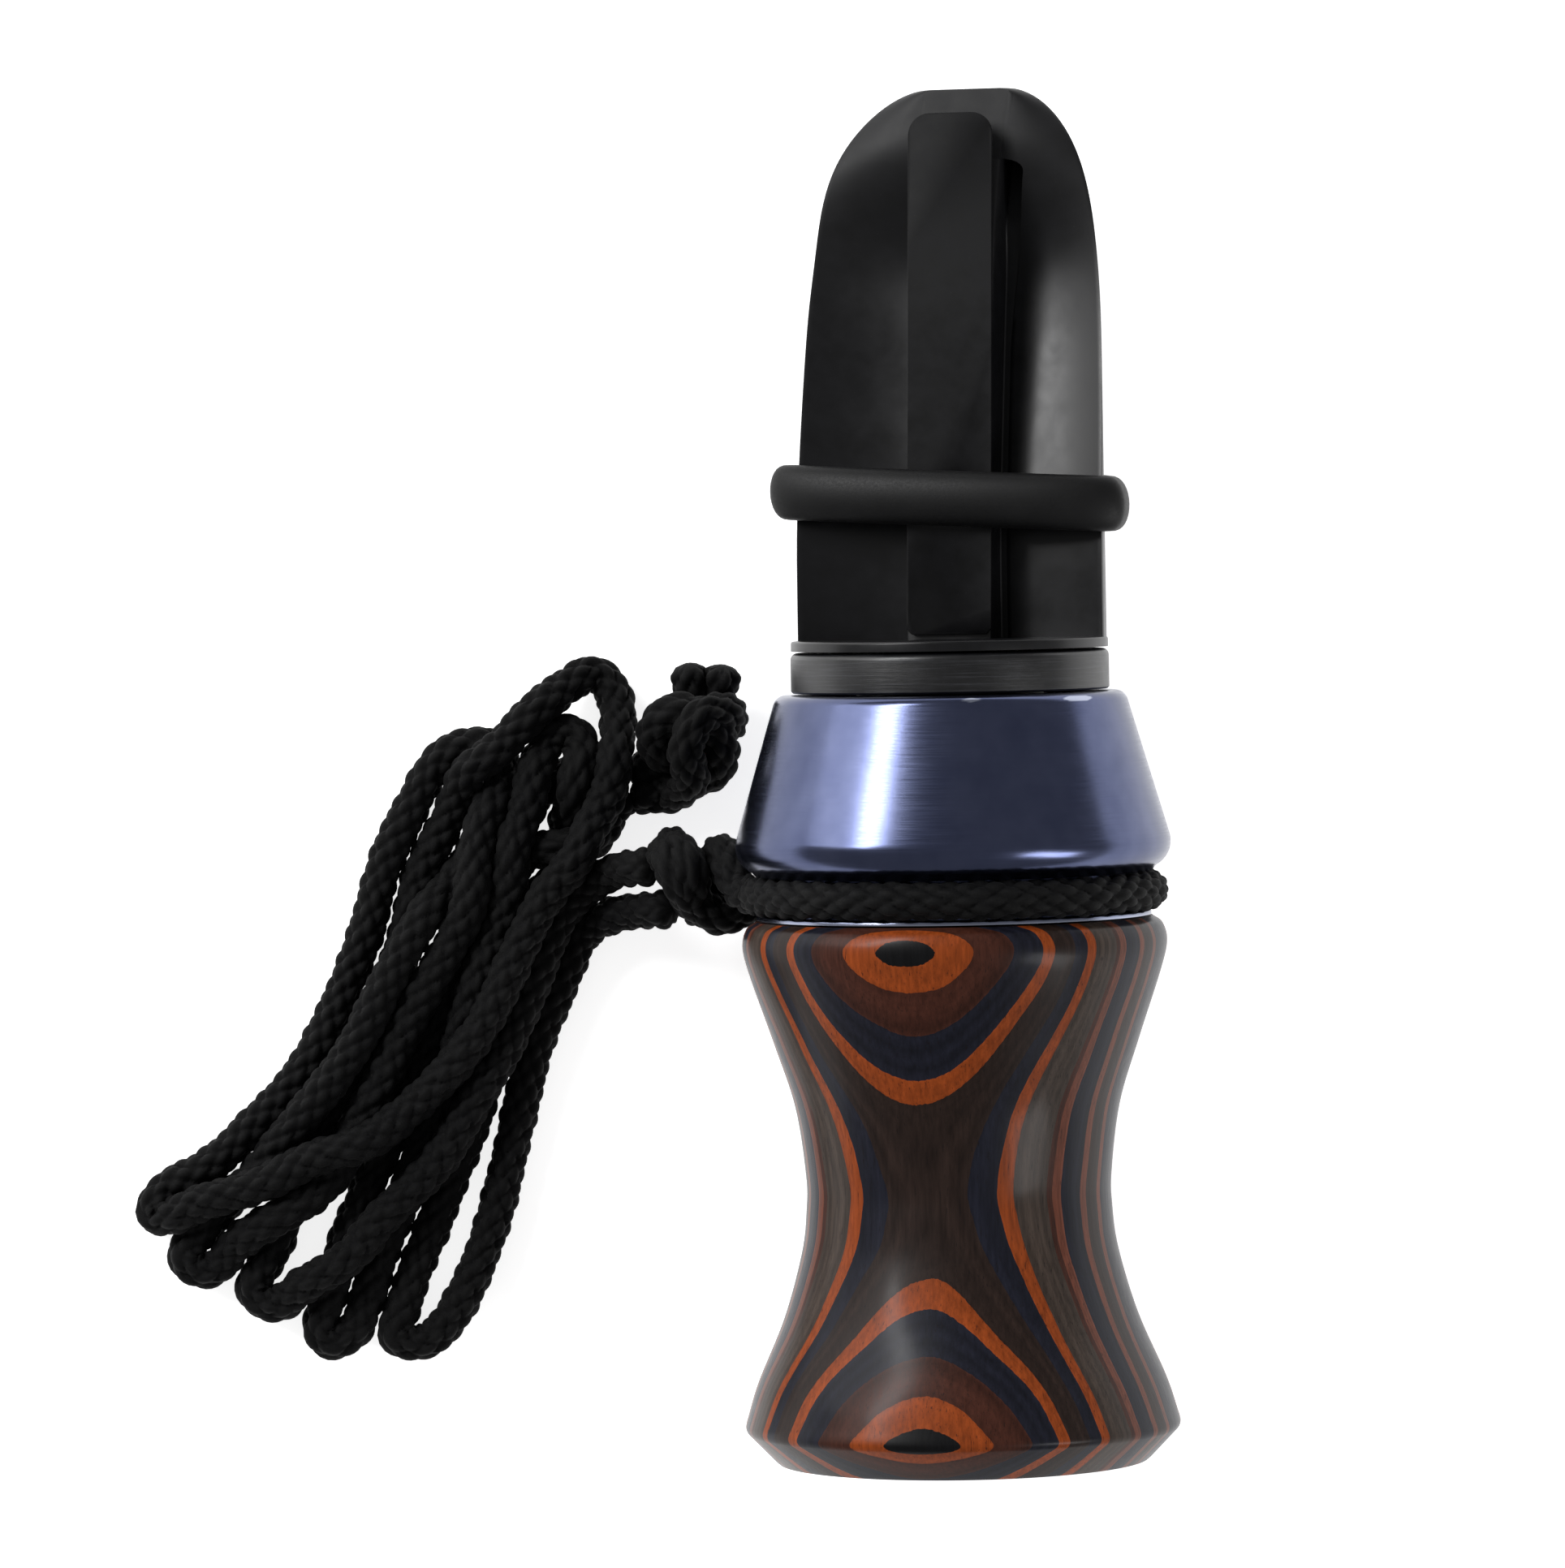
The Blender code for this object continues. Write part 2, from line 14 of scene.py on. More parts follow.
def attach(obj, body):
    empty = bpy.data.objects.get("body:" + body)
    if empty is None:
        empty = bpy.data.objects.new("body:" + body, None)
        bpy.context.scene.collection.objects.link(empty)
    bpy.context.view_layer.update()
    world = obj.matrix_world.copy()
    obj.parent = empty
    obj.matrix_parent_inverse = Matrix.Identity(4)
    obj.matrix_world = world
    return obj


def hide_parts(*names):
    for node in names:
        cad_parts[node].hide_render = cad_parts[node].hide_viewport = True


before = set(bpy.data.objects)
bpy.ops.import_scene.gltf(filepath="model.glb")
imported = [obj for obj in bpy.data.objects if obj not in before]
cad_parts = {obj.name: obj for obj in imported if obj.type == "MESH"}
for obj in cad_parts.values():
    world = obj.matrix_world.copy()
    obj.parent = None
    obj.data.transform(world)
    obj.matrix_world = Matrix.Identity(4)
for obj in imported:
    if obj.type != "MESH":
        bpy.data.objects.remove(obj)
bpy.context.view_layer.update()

MM = 0.001

# The call's sizes, the same as in the CAD
CALL_LENGTH = 111.3
RIM_RADIUS = 17.65
BORE_RADIUS = 8.0
CORD_RADIUS = 1.6
FIT_GAP = 0.3
SEAM_GAP = 0.15
SHOULDER = 44.05
GROOVE_LOW = 44.55
GROOVE_HIGH = 47.75
FERRULE_TOP = 62.35
FLANGE_BASE = FERRULE_TOP + SEAM_GAP
FLANGE_TOP = 65.75
BOARD_BASE = FLANGE_TOP + SEAM_GAP
STEM_END = 38.0
TENON_END = 46.0
BAND_STATION = 78.1
REED_PIVOT = 80.0
NOSE_START = 90.0
SLOT_START = 90.0
SLOT_END = 105.5
SCOOP_END = 107.5
REED_TAIL = 67.1
REED_END = 109.3
GROOVE_RADIUS = 14.1
TENON_RADIUS = 11.0
FLANGE_RADIUS = 12.9
STEM_RADIUS = 7.6
SEAL_GROOVE_RADIUS = 6.3
SEAL_GROOVE_WIDTH = 2.4
SEAL_STATIONS = {"stem_o_ring_rear": 43.5, "stem_o_ring_front": 57.0}
SEAL_SECTION = 0.55
SOCKET_RADIUS = 5.5
AIRWAY_RADIUS = 2.8
BOARD_RADIUS = 12.75
BOARD_DISC = 0.8
TIP_RADIUS = 6.4
NOSE_POWER = 3.0
NOSE_BLUNTNESS = 0.68
NOSE_LEAN = 1.0
NOSE_CROWN = 1.2
RIM_SLOPE = 0.185
RIM_BEND = 75.0
RIM_SOFTNESS = 3.0
RIB_HALF_WIDTH = 3.9
RIB_HEIGHT = 1.7
RIB_SLOPE = 0.08
RIB_CURVE = 2.0
RIB_CURVE_START = REED_PIVOT + 2.0
SCOOP_DEPTH = 1.8
SLOT_WIDTH = 1.9
SLOT_NARROW = 0.6
CHANNEL_HALF_WIDTH = 1.8
CHANNEL_DEPTH = 2.6
REED_HALF_WIDTH = 3.5
REED_THICKNESS = 0.36
REED_CORNER = 1.8
BAND_INNER = 13.05
BAND_THICKNESS = 1.75
BAND_HEIGHT = 4.5
BAND_TILT = math.radians(3.0)
BAND_CLEARANCE = 0.9
MOUTHPIECE_TWIST = math.radians(-15.0)

# More of the toneboard's and the reed's shape; some of it the CAD has simpler or not at all
SCOOP_FADE = 94.0
RIM_LOWEST = 0.88
RIM_INSET = 0.16
FLANK_CURVE = 1.8
CROWN_CURVE = 2.4
NOSE_STEP = 0.3
NOSE_STEP_LOSS = 0.295
NOSE_EDGE = 0.005
CHANNEL_START = 70.0
CHANNEL_LENGTH = 33.0
CHANNEL_NARROWING = 0.35
CHANNEL_SHALLOW = 0.4
SLOT_FLOOR_START = 84.0
SLOT_FLOOR_DEPTH = 2.3
SLOT_FLOOR_DROP = 2.1
SLOT_CURVE = 1.3
RIB_EDGE = 0.22
RIB_SHARE = 0.72
LEFT_RIB_INSET = 0.75
LEFT_RIB_SHARE = 0.6
LEFT_SLOT_SHARE = 0.4
FLANK_STEPS = 27
BELLY_STEPS = 72
REED_SHIFT = 0.5
REED_BEVEL = 0.04

# Where the wear of the mouth end is full, from the middle of the call
WORN_END = 48.0

# How settle() lays the lanyard's strands, and the noose's turn in degrees
LAY_SPACING = 1.0
LAY_ROUNDS = 260
LAY_NEIGHBOURS = 5
LAY_PUSH = 0.22
LAY_LIMIT = 0.35
LAY_PULL = (0.03, 0.03, 0.01)
LAY_WEIGHT = 0.01
LAY_BEND = 0.3
FLOOR_GAP = 0.03
HELD_POINTS = 3
NOOSE_START = 190.0
NOOSE_SWEEP = 352.0

# Camera, above the call and leaning a little; FRAME_HEIGHT is the picture's height there
CAMERA_DISTANCE = 690.0
CAMERA_PLACE = (-13.72, -0.47)
CAMERA_TURN = math.radians(-1.06)
CAMERA_LEAN = math.radians(1.8)
FRAME_HEIGHT = 127.1
SENSOR = 36.0

# Floor and light: each lamp's place, width and height, and power
FLOOR_HALF_SIZE = 3000.0
FLOOR_DROP = 0.02
LIGHTS = {
    "key_left": ((-436, 383, 450), (420, 120), 3.7),
    "low_left": ((-610, 345, 215), (300, 380), 1.1),
    "fill_right": ((513, -250, 401), (190, 330), 1.6),
}
LIGHT_AIM = (-10, 0, 15)
WORLD_STRENGTH = 0.28

# The lanyard's braid
BRAID_SIDES = 48
BRAID_STEP = 0.25
BRAID_STRANDS = 6
BRAID_PITCH = 2.3
BRAID_RELIEF = 0.36
BRAID_CROWN = 1.05
BRAID_SINK = 1.6
BRAID_CAP = 0.9
BRAID_WAVES = ((0.02, 1.9, 0.0), (0.025, 0.73, 1.3))

# The upper strand: from the noose's knot through six runs to the end knot
UPPER_STRAND = [
    (-24.2, -7.2, 10.0), (-28.5, -8.0, 7.0), (-33.0, -11.0, 4.8), (-36.0, -18.0, 4.8),
    (-41.0, -28.5, 4.8), (-48.0, -37.0, 3.0), (-52.0, -41.0, 1.9), (-55.8, -43.2, 1.7),
    (-58.2, -42.7, 1.7), (-58.4, -40.4, 1.7), (-54.0, -32.5, 1.7), (-49.0, -23.0, 1.7),
    (-45.0, -13.0, 1.7), (-40.9, -2.8, 2.4), (-37.3, 1.3, 4.4), (-33.9, 4.5, 5.6),
    (-31.3, 7.3, 4.2), (-29.1, 8.4, 2.6), (-27.5, 6.4, 2.8), (-27.4, 3.6, 4.2),
    (-28.2, 0.5, 5.2), (-30.7, -5.8, 6.0), (-35.0, -13.7, 7.2), (-40.4, -22.6, 7.8),
    (-48.0, -29.2, 7.4), (-58.2, -33.4, 4.6), (-62.7, -35.3, 2.6), (-65.8, -36.3, 1.8),
    (-66.3, -35.4, 1.8), (-64.9, -34.0, 1.9), (-59.0, -30.0, 1.7), (-53.0, -22.5, 1.7),
    (-48.5, -13.0, 1.7), (-44.5, -3.0, 1.7), (-42.2, 0.8, 1.8), (-39.8, 2.3, 2.0),
    (-37.8, 2.3, 2.2), (-36.8, 0.0, 2.8), (-39.2, -7.7, 4.8), (-43.6, -17.0, 4.8),
    (-48.3, -26.2, 4.8), (-56.0, -35.5, 3.6), (-59.8, -38.8, 1.9), (-62.4, -40.4, 1.7),
    (-64.0, -39.4, 1.7), (-63.4, -37.5, 1.7), (-60.4, -34.2, 1.9), (-56.5, -31.5, 4.4),
    (-49.2, -22.2, 4.8), (-43.6, -12.2, 4.6), (-38.8, -4.4, 3.4), (-35.4, -1.3, 2.2),
    (-32.0, -0.3, 1.7), (-29.0, 0.1, 1.7), (-26.4, 0.8, 2.6),
]

# The lower strand: from the noose's knot through four runs to the end knot
LOWER_STRAND = [
    (-22.9, -10.8, 9.2), (-28.3, -11.4, 4.6), (-30.9, -12.5, 2.6), (-32.2, -15.2, 1.7),
    (-34.9, -23.2, 1.7), (-37.1, -32.0, 1.7), (-38.6, -37.3, 1.7), (-40.5, -42.0, 1.7),
    (-42.6, -45.3, 1.7), (-44.8, -46.7, 1.7), (-46.9, -46.2, 1.7), (-47.1, -44.2, 1.7),
    (-43.6, -36.5, 1.7), (-39.7, -27.2, 1.7), (-36.9, -17.8, 1.7), (-33.2, -9.1, 2.6),
    (-30.2, -1.4, 4.4), (-29.9, 2.0, 4.4), (-31.3, 4.0, 4.6), (-33.4, 3.0, 5.0),
    (-35.9, -5.4, 4.8), (-39.4, -16.3, 4.8), (-43.3, -27.0, 4.0), (-47.7, -37.8, 2.0),
    (-49.1, -42.5, 1.7), (-50.5, -45.8, 1.7), (-52.2, -46.5, 1.7), (-52.5, -44.5, 1.7),
    (-48.8, -35.8, 1.7), (-44.1, -25.1, 1.7), (-40.2, -14.4, 1.7), (-38.0, -9.7, 1.8),
    (-35.6, -7.1, 2.5), (-32.9, -5.8, 3.4), (-30.5, -4.8, 3.6), (-28.5, -3.2, 2.6),
    (-26.4, -1.5, 2.6),
]

# The two strands through each knot
END_KNOT_ROUTES = [
    [
        (-26.4, 0.8, 2.6), (-23.5, 0.2, 2.2), (-20.5, -0.3, 2.6), (-18.8, 1.2, 4.6),
        (-19.4, 4.2, 7.0), (-22.3, 5.4, 7.6), (-24.2, 3.7, 6.2), (-23.6, 1.6, 4.4),
        (-21.5, 2.6, 3.4), (-21.0, 5.6, 3.8), (-21.2, 7.6, 4.2), (-21.4, 9.2, 4.6),
    ],
    [
        (-26.4, -1.5, 2.6), (-23.2, -1.7, 2.6), (-21.3, -0.4, 5.8), (-21.6, 2.2, 8.4),
        (-20.4, 4.9, 8.8), (-18.2, 5.2, 5.8), (-18.2, 4.0, 2.6), (-18.9, 6.0, 3.2),
        (-18.6, 7.8, 4.4), (-18.4, 9.0, 4.8),
    ],
]
NOOSE_KNOT_ROUTES = [
    [
        (-24.2, -7.2, 10.0), (-22.6, -5.9, 11.6), (-21.4, -7.3, 13.4), (-21.2, -9.6, 12.0),
        (-20.6, -10.8, 10.0), (-19.8, -9.3, 8.4), (-19.2, -6.8, 9.2), (-18.7, -6.3, 11.4),
        (-18.2, -7.6, 13.4), (-17.2, -9.2, 15.0), (-16.0, -9.5, 17.2),
    ],
    [
        (-22.9, -10.8, 9.2), (-21.6, -9.4, 8.2), (-21.9, -6.8, 7.8), (-22.8, -5.6, 9.4),
        (-23.0, -6.4, 12.0), (-22.4, -8.4, 12.8), (-20.8, -10.4, 11.6), (-19.0, -11.4, 10.6),
        (-17.2, -10.9, 9.6), (-15.0, -9.6, 9.6),
    ],
]

# Wood layers, from the middle of the block outwards: where each starts, and its colour.
# They lie turned about the call's axis.
ORANGE = (136, 61, 22)
RUST = (103, 57, 42)
BROWN = (64, 34, 25)
UMBER = (40, 29, 25)
BLUE_BLACK = (24, 25, 35)
GREY = (62, 52, 46)
BLACK = (10, 10, 12)
LAYERS = [
    (0.0, BLUE_BLACK), (2.3, RUST), (2.95, UMBER), (4.6, RUST), (5.3, BLUE_BLACK),
    (7.2, RUST), (7.9, BROWN), (8.3, GREY), (10.4, ORANGE), (11.1, BLUE_BLACK),
    (12.0, UMBER), (13.3, ORANGE), (13.95, BLUE_BLACK), (15.2, BROWN),
    (16.4, ORANGE), (17.15, BLACK),
]
LAYER_TURN = math.radians(13.0)
LAYER_SPAN = 18.0
PLY_RATE = 1.9


# ---------------------------------------------------------------- shader helpers

def linear(rgb):
    """Linear RGBA from an 8-bit colour."""
    values = [c / 255 for c in rgb]
    return tuple(c / 12.92 if c < 0.04045 else ((c + 0.055) / 1.055) ** 2.4 for c in values) + (1.0,)


class Shader:
    """A material whose nodes are added with their inputs in one call."""

    def __init__(self, name):
        self.material = bpy.data.materials.new(name)
        self.material.use_nodes = True
        self.tree = self.material.node_tree
        self.base = self.tree.nodes["Principled BSDF"]

    def put(self, socket, value):
        if isinstance(value, bpy.types.NodeSocket):
            self.tree.links.new(value, socket)
        else:
            socket.default_value = value

    def add(self, kind, inputs=(), out=0, **settings):
        node = self.tree.nodes.new("ShaderNode" + kind)
        for key, value in settings.items():
            setattr(node, key, value)
        for key, value in dict(inputs).items():
            self.put(node.inputs[key], value)
        return node.outputs[out]

    def surface(self, **inputs):
        for key, value in inputs.items():
            self.put(self.base.inputs[key.replace("_", " ")], value)

    def place(self, scale=(1, 1, 1)):
        """The object's own coordinates in millimetres, stretched by scale."""
        where = self.add("TexCoord", out=3)
        size = [1000 * s for s in scale]
        return self.add("Mapping", {"Vector": where, "Scale": size})

    def noise(self, scale, stretch=(1, 1, 1), detail=3.0, rough=0.5):
        spot = self.place(stretch)
        return self.add("TexNoise", {"Vector": spot, "Scale": scale, "Detail": detail, "Roughness": rough})

    def remap(self, value, low, high, to_low, to_high):
        return self.add("MapRange", {0: value, 1: low, 2: high, 3: to_low, 4: to_high})

    def vary(self, noise, to_low, to_high):
        """From one value to the other over the middle of a noise's range."""
        return self.remap(noise, 0.3, 0.7, to_low, to_high)

    def math(self, operation, a, b=0.0):
        return self.add("Math", {0: a, 1: b}, operation=operation)

    def mix(self, factor, a, b, blend="MIX"):
        node = self.tree.nodes.new("ShaderNodeMix")
        node.data_type = "RGBA"
        node.blend_type = blend
        self.put(node.inputs[0], factor)
        self.put(node.inputs[6], a)
        self.put(node.inputs[7], b)
        return node.outputs[2]

    def bump(self, height, strength, distance):
        inputs = {"Height": height, "Strength": strength, "Distance": distance * MM}
        return self.add("Bump", inputs)


def wood_material():
    s = Shader("laminated_wood_lacquered")
    where = s.place()
    normal = (-math.sin(LAYER_TURN), 0.0, math.cos(LAYER_TURN))
    centre = s.add("VectorMath", {0: where, 1: (0, 0, RIM_RADIUS)}, operation="SUBTRACT")
    across = s.add("VectorMath", {0: centre, 1: normal}, out=1, operation="DOT_PRODUCT")
    wave = s.noise(0.06, (1, 0.6, 1), 2.0)
    fuzz = s.noise(3.2, (1, 0.2, 1), 3.0)
    bent = s.math("ADD", across, s.vary(wave, -0.35, 0.35))
    bent = s.math("ADD", bent, s.vary(fuzz, -0.015, 0.015))
    depth = s.math("DIVIDE", s.math("ABSOLUTE", bent), LAYER_SPAN)
    line = s.add("CombineXYZ", {0: s.math("MULTIPLY", bent, PLY_RATE), 1: 0.0, 2: 0.0})
    ply = s.add("TexNoise", {"Vector": line, "Scale": 1.0, "Detail": 2.0})
    ramp = s.tree.nodes.new("ShaderNodeValToRGB")
    ramp.color_ramp.interpolation = "CONSTANT"
    stops = ramp.color_ramp.elements
    stops[0].color = linear(LAYERS[0][1])
    stops[1].position = LAYERS[-1][0] / LAYER_SPAN
    stops[1].color = linear(LAYERS[-1][1])
    for start, rgb in LAYERS[1:-1]:
        stops.new(start / LAYER_SPAN).color = linear(rgb)
    s.put(ramp.inputs[0], depth)
    grain = s.noise(3.0, (1, 0.05, 1), 6.0, 0.65)
    pores = s.noise(7.0, (1, 0.045, 1), 2.0, 0.6)
    tone = s.math("MULTIPLY", s.vary(grain, 0.62, 1.25), s.vary(ply, 0.6, 1.3))
    toned = s.mix(1.0, ramp.outputs[0], s.add("CombineColor", {0: tone, 1: tone, 2: tone}), "MULTIPLY")
    dark = s.remap(pores, 0.62, 0.72, 0.0, 0.7)
    colour = s.mix(dark, toned, (0.006, 0.004, 0.004, 1))
    smudge = s.noise(0.25, detail=3.0)
    s.surface(
        Base_Color=colour, Roughness=s.vary(grain, 0.38, 0.5),
        Normal=s.bump(grain, 0.25, 0.05), Coat_Weight=0.36, Coat_IOR=1.25, Specular_IOR_Level=0.1,
        Coat_Roughness=s.vary(smudge, 0.17, 0.25),
    )
    return s.material


def metal_material():
    s = Shader("anodised_aluminium_turned")
    rings = s.noise(9.0, (0.02, 1, 0.02), 4.0, 0.7)
    cloud = s.noise(0.35, detail=4.0)
    colour = s.mix(s.vary(cloud, 0, 1), linear((73, 79, 106)), linear((83, 89, 116)))
    # Convex edges, found by their pointiness, are mixed towards a pale grey-blue.
    edge = s.add("NewGeometry", out=7)
    pale_edges_and_rough_tip = s.remap(edge, 0.53, 0.6, 0.0, 0.6)
    s.surface(
        Base_Color=s.mix(pale_edges_and_rough_tip, colour, linear((190, 196, 214))), Metallic=1.0,
        Roughness=s.vary(rings, 0.17, 0.27), Normal=s.bump(rings, 0.12, 0.02),
    )
    return s.material


def plastic_material(name, dark, light, rough, lines, speckle, shine=0.5, tip=0.0):
    """Black plastic: lines is the strength of turned rings, speckle that of fine dust.

    The mouth end is rougher by tip.
    """
    s = Shader(name)
    axis = s.tree.nodes.new("ShaderNodeSeparateXYZ")
    s.put(axis.inputs[0], s.place())
    pale_edges_and_rough_tip = s.remap(axis.outputs[1], NOSE_START - CALL_LENGTH / 2, WORN_END, 0.0, tip)
    rings = s.noise(7.0, (0.02, 1, 0.02), 4.0, 0.75)
    cloud = s.noise(0.5, detail=5.0, rough=0.6)
    dust = s.noise(6.0, detail=2.0, rough=0.8)
    tint = s.mix(s.remap(cloud, 0.35, 0.7, 0, 1), linear(dark), linear(light))
    motes = s.remap(dust, 0.68, 0.76, 0.0, speckle)
    streak = s.remap(rings, 0.5, 0.75, 0.0, lines * 0.35)
    tint = s.mix(motes, tint, linear((110, 112, 118)))
    s.surface(
        Base_Color=s.mix(streak, tint, linear((120, 122, 130))),
        Roughness=s.math("ADD", s.vary(cloud, rough - 0.02, rough + 0.05), pale_edges_and_rough_tip),
        Normal=s.bump(rings, lines, 0.03) if lines else s.bump(dust, 0.04, 0.02),
        Specular_IOR_Level=shine,
    )
    return s.material


def rubber_material():
    s = Shader("black_rubber_matte")
    fine = s.noise(5.0, detail=4.0, rough=0.7)
    cloud = s.noise(0.4, detail=3.0)
    s.surface(
        Base_Color=s.mix(s.vary(cloud, 0, 1), linear((5, 5, 6)), linear((11, 11, 12))),
        Roughness=s.vary(fine, 0.45, 0.6), Normal=s.bump(fine, 0.2, 0.04),
        Specular_IOR_Level=0.25,
    )
    return s.material


def cord_material():
    s = Shader("braided_cord_black")
    painted_shade_height = s.add("Attribute", attribute_name="painted_shade_height", out=2)
    yarn = s.noise(9.0, detail=3.0, rough=0.7)
    hair = s.noise(3.0, detail=4.0, rough=0.6)
    cloud = s.noise(0.12, detail=3.0)
    lit = s.mix(s.remap(cloud, 0.35, 0.65, 0, 1), linear((3, 3, 4)), linear((10, 10, 10)))
    # Painted shade: where the yarns sink between each other, the colour is painted darker, towards
    # near-black.
    tint = s.mix(s.remap(painted_shade_height, 0.15, 0.95, 0, 1), linear((1, 1, 2)), lit)
    s.surface(
        Base_Color=s.mix(s.remap(hair, 0.55, 0.8, 0.0, 0.35), tint, linear((25, 25, 26))),
        Roughness=0.7, Normal=s.bump(yarn, 0.55, 0.12), Specular_IOR_Level=0.15,
        Sheen_Weight=0.02, Sheen_Roughness=0.4,
    )
    return s.material


# ---------------------------------------------------------------- mesh helpers

def add_mesh(name, verts, faces, material, sharp=None):
    """An object from millimetre points, smooth-shaded, with sharp edges over an angle."""
    mesh = bpy.data.meshes.new(name)
    mesh.from_pydata([tuple(v) for v in (np.asarray(verts, dtype=float) * MM)], [], faces)
    bm = bmesh.new()
    bm.from_mesh(mesh)
    bmesh.ops.recalc_face_normals(bm, faces=bm.faces)
    bm.to_mesh(mesh)
    bm.free()
    mesh.shade_smooth()
    if sharp:
        mesh.set_sharp_from_angle(angle=math.radians(sharp))
    mesh.materials.append(material)
    made = bpy.data.objects.new(name, mesh)
    bpy.context.scene.collection.objects.link(made)
    return made


def smooth_points(points, steps):
    """Catmull-Rom points through the given ones, as an array."""
    p = np.array(points, dtype=float)
    p = np.vstack([2 * p[0] - p[1], p, 2 * p[-1] - p[-2]])
    found = []
    for i in range(1, len(p) - 2):
        a, b, c, d = p[i - 1], p[i], p[i + 1], p[i + 2]
        for t in np.arange(steps) / steps:
            bend = (2 * a - 5 * b + 4 * c - d) * t**2 + (3 * b - a - 3 * c + d) * t**3
            found.append((2 * b + (c - a) * t + bend) / 2)
    found.append(p[-2])
    return np.array(found)


def even_points(points, spacing):
    """The same line with points at an even spacing."""
    p = np.asarray(points, dtype=float)
    run = np.concatenate([[0], np.cumsum(np.linalg.norm(np.diff(p, axis=0), axis=1))])
    count = max(int(round(run[-1] / spacing)), 2)
    where = np.linspace(0, run[-1], count + 1)
    return np.stack([np.interp(where, run, p[:, k]) for k in range(3)], axis=1)


def arc(centre, radius, start, end, steps):
    """Points along an arc between two angles in degrees."""
    angles = np.radians(np.linspace(start, end, steps + 1))
    return [(centre[0] + radius * math.cos(a), centre[1] + radius * math.sin(a)) for a in angles]


def on_axis(x, up, station, twist=0.0):
    """A point of the call from its own cross-section, turned about the axis by twist."""
    c, s = math.cos(twist), math.sin(twist)
    return (x * c + up * s, station - CALL_LENGTH / 2, RIM_RADIUS - x * s + up * c)


def skin(rows, count, closed):
    """Faces round rows of count points: the rows close into a ring, or both ends are capped."""
    faces = []
    for i in range(rows if closed else rows - 1):
        k = (i + 1) % rows
        for j in range(count):
            m = (j + 1) % count
            faces.append((i * count + j, i * count + m, k * count + m, k * count + j))
    if not closed:
        faces.append(tuple(range(count)))
        faces.append(tuple(range((rows - 1) * count, rows * count)))
    return faces


def turned(name, profile, material, sharp=30, steps=192):
    """A closed ring of revolution about the call's axis from (radius, station) points."""
    verts = []
    for i in range(steps):
        angle = 2 * math.pi * i / steps
        verts += [on_axis(r * math.cos(angle), r * math.sin(angle), s) for r, s in profile]
    return add_mesh(name, verts, skin(steps, len(profile), True), material, sharp)


def sections_mesh(name, rings, material, sharp=30):
    """A closed body through rings of points with equal counts."""
    verts = [v for ring in rings for v in ring]
    return add_mesh(name, verts, skin(len(rings), len(rings[0]), False), material, sharp)


# ---------------------------------------------------------------- the lanyard

def braid(name, route, material):
    """A round braid along a line of points: crossing yarns stand out of the surface.

    The yarns run round the cord both ways. Where two cross, one is over and the other under;
    height is 1 on the crown of an upper yarn, and its edges and ends sink.
    """
    path = even_points(route, BRAID_STEP)
    along = np.gradient(path, axis=0)
    along /= np.linalg.norm(along, axis=1)[:, None]
    side = np.cross(along[0], (0, 0, 1.0))
    if np.linalg.norm(side) < 0.1:
        side = np.cross(along[0], (1.0, 0, 0))
    sides = []
    for t in along:
        side = side - t * np.dot(side, t)
        side /= np.linalg.norm(side)
        sides.append(side)
    sides = np.array(sides)
    ups = np.cross(along, sides)
    angle = 2 * math.pi * np.arange(BRAID_SIDES) / BRAID_SIDES
    run = np.arange(len(path)) * BRAID_STEP
    yarn = angle[None, :] / (2 * math.pi) * BRAID_STRANDS
    right = yarn + run[:, None] / BRAID_PITCH
    left = yarn - run[:, None] / BRAID_PITCH
    a = right - np.floor(right) - 0.5
    b = left - np.floor(left) - 0.5
    over = (np.floor(right) + np.floor(left)) % 2 == 0
    wide = np.where(over, a, b)
    tall = np.where(over, b, a)
    height = np.sqrt(np.clip(1 - (2 * wide) ** 2, 0.0, 1)) * (1 - BRAID_SINK * tall**2)
    uneven = sum(share * np.sin(run * rate + phase) for share, rate, phase in BRAID_WAVES)
    relief = BRAID_RELIEF * BRAID_CROWN * height
    radius = CORD_RADIUS * (1 - BRAID_RELIEF + relief + uneven[:, None])
    ends = np.minimum(run, run[-1] - run)
    cap = np.sqrt(np.clip(1 - (1 - np.clip(ends / BRAID_CAP, 0, 1)) ** 2, 0.05, 1))
    radius = radius * cap[:, None]
    across = sides[:, None, :] * np.cos(angle)[None, :, None]
    ring = across + ups[:, None, :] * np.sin(angle)[None, :, None]
    verts = (path[:, None, :] + ring * radius[:, :, None]).reshape(-1, 3)
    made = add_mesh(name, verts, skin(len(path), BRAID_SIDES, False), material)
    # The yarns' height is kept on the points, to paint shade into the gaps between the yarns.
    shade = made.data.attributes.new("painted_shade_height", "FLOAT", "POINT")
    shade.data.foreach_set("value", height.reshape(-1).astype(np.float32))
    return made, path


